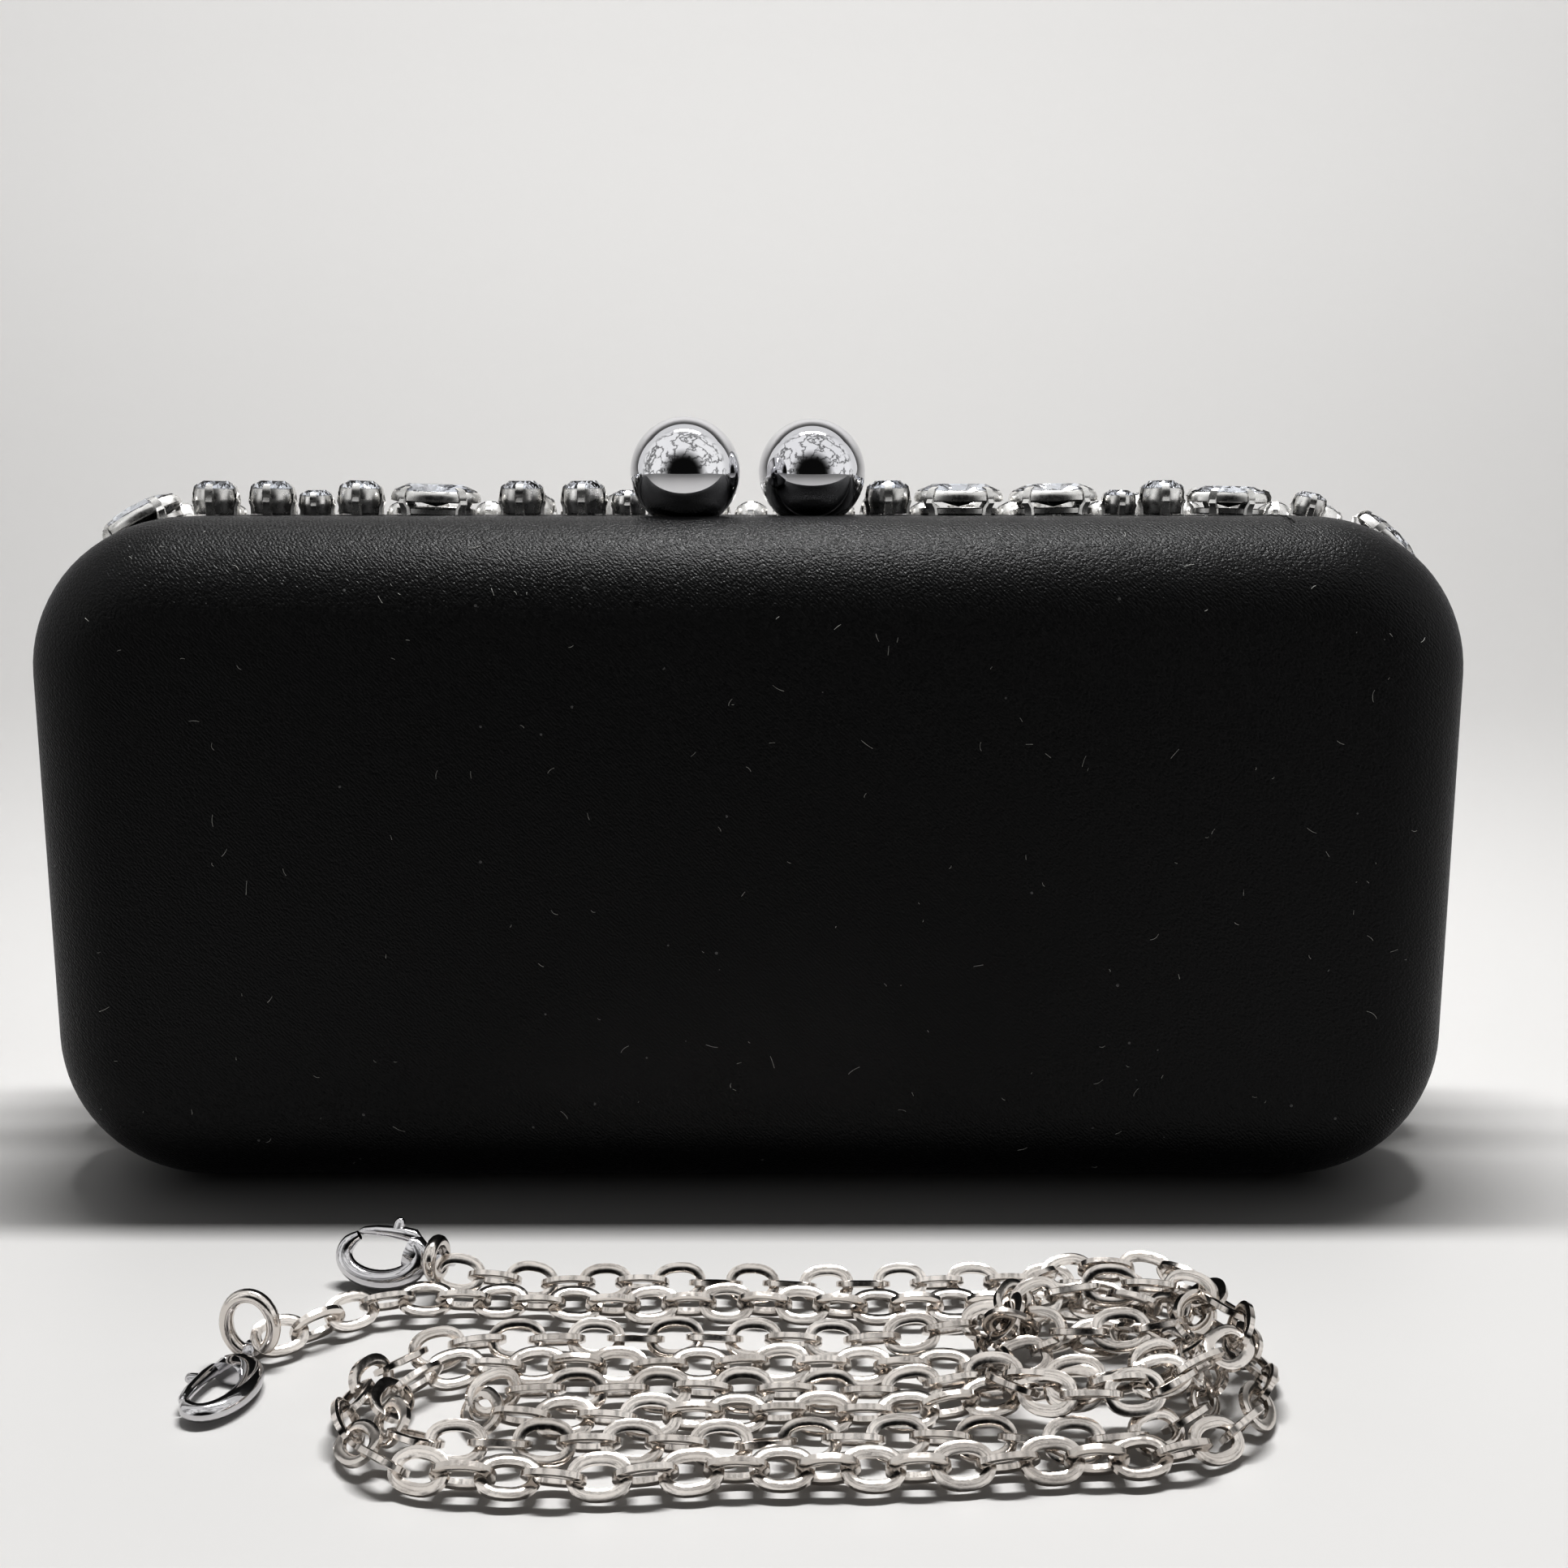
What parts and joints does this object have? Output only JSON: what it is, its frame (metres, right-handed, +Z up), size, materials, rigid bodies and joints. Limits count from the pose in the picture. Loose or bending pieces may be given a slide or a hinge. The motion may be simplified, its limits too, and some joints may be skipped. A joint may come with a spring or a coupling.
{
  "type": "evening bag",
  "caption": "Hard-shell evening bag with satin covered trays, crystal front, twin ball closure and a detachable cable chain strap.",
  "frame": {"origin": "middle of the standing bag, on the surface it stands on, without the chain strap", "axes": "+X along the width, towards the right ball; +Y towards the crystal front; +Z up. The chain strap lies on the -Y side"},
  "size_m": [0.233, 0.136, 0.1213],
  "materials": {
    "black_satin": "satin weave",
    "shell_board": "moulded",
    "frame_steel": "nickel plated",
    "lining_cloth": "woven",
    "hardware_steel": "nickel plated",
    "polished_ball": "mirror polished",
    "claw_setting": "bright plated",
    "crystal": "faceted",
    "strap_metal": "silver plated",
    "chain_bulk": "silver plated chain"
  },
  "bodies": {
    "back_half": {"back_cover": "black_satin", "back_frame": "frame_steel", "back_hinge_leaves": "hardware_steel", "back_hinge_rivets": "hardware_steel", "back_lining": "lining_cloth", "back_shell": "shell_board", "hinge_pins": "hardware_steel", "left_ball_bracket": "hardware_steel", "left_ball_pivot": "hardware_steel", "left_ball_spring": "hardware_steel", "left_strap_lug": "hardware_steel", "right_strap_lug": "hardware_steel"},
    "front_half": {"front_cover": "black_satin", "front_frame": "frame_steel", "front_hinge_leaves": "hardware_steel", "front_hinge_rivets": "hardware_steel", "front_lining": "lining_cloth", "front_shell": "shell_board", "right_ball_bracket": "hardware_steel", "right_ball_pivot": "hardware_steel", "right_ball_spring": "hardware_steel", "large_round_settings": "claw_setting", "large_round_stones": "crystal", "navette_settings": "claw_setting", "navette_stones": "crystal", "oval_settings": "claw_setting", "oval_stones": "crystal", "small_round_settings": "claw_setting", "small_round_stones": "crystal"},
    "left_ball": {"left_ball": "polished_ball", "left_ball_stem": "hardware_steel"},
    "right_ball": {"right_ball": "polished_ball", "right_ball_stem": "hardware_steel"},
    "left_strap_ring": {"left_strap_ring": "hardware_steel"},
    "right_strap_ring": {"right_strap_ring": "hardware_steel"},
    "chain_strap": {"chain_hank": "chain_bulk", "chain_tail": "chain_bulk", "jump_ring_a": "strap_metal", "jump_ring_b": "strap_metal", "clasp_a_hook": "strap_metal", "clasp_a_pin": "strap_metal", "clasp_b_hook": "strap_metal", "clasp_b_pin": "strap_metal"},
    "clasp_a_lever": {"clasp_a_lever": "strap_metal"},
    "clasp_b_lever": {"clasp_b_lever": "strap_metal"}
  },
  "joints": [
    {"name": "bag_opening", "type": "hinge", "parent": "back_half", "child": "front_half", "pos_m": [0, -0.00275, 0.0019], "axis": [-1, 0, 0], "range_deg": [0, 75]},
    {"name": "left_ball_tilt", "type": "hinge", "parent": "back_half", "child": "left_ball", "pos_m": [-0.01, -0.00675, 0.0974], "axis": [0, -1, 0], "range_deg": [0, 6], "stiffness_Nm_per_rad": 0.7},
    {"name": "right_ball_tilt", "type": "hinge", "parent": "front_half", "child": "right_ball", "pos_m": [0.01, 0.00125, 0.0974], "axis": [0, 1, 0], "range_deg": [0, 6], "stiffness_Nm_per_rad": 0.7},
    {"name": "left_ring_swing", "type": "hinge", "parent": "back_half", "child": "left_strap_ring", "pos_m": [-0.1044, -0.00915, 0.0765], "axis": [0, -1, 0], "range_deg": [0, 100]},
    {"name": "right_ring_swing", "type": "hinge", "parent": "back_half", "child": "right_strap_ring", "pos_m": [0.1044, -0.00915, 0.0765], "axis": [0, 1, 0], "range_deg": [0, 100]},
    {"name": "chain_lift_off", "type": "slide", "parent": "back_half", "child": "chain_strap", "axis": [0, 0, 1], "range_m": [0, 0.15]},
    {"name": "clasp_a_lever_press", "type": "hinge", "parent": "chain_strap", "child": "clasp_a_lever", "pos_m": [-0.06607, -0.08164, 0.0016], "axis": [0, 0, 1], "range_deg": [0, 25], "stiffness_Nm_per_rad": 0.02},
    {"name": "clasp_b_lever_press", "type": "hinge", "parent": "chain_strap", "child": "clasp_b_lever", "pos_m": [-0.04631, -0.05465, 0.00725], "axis": [-0.1381, -0.8721, 0.4695], "range_deg": [0, 25], "stiffness_Nm_per_rad": 0.02}
  ]
}
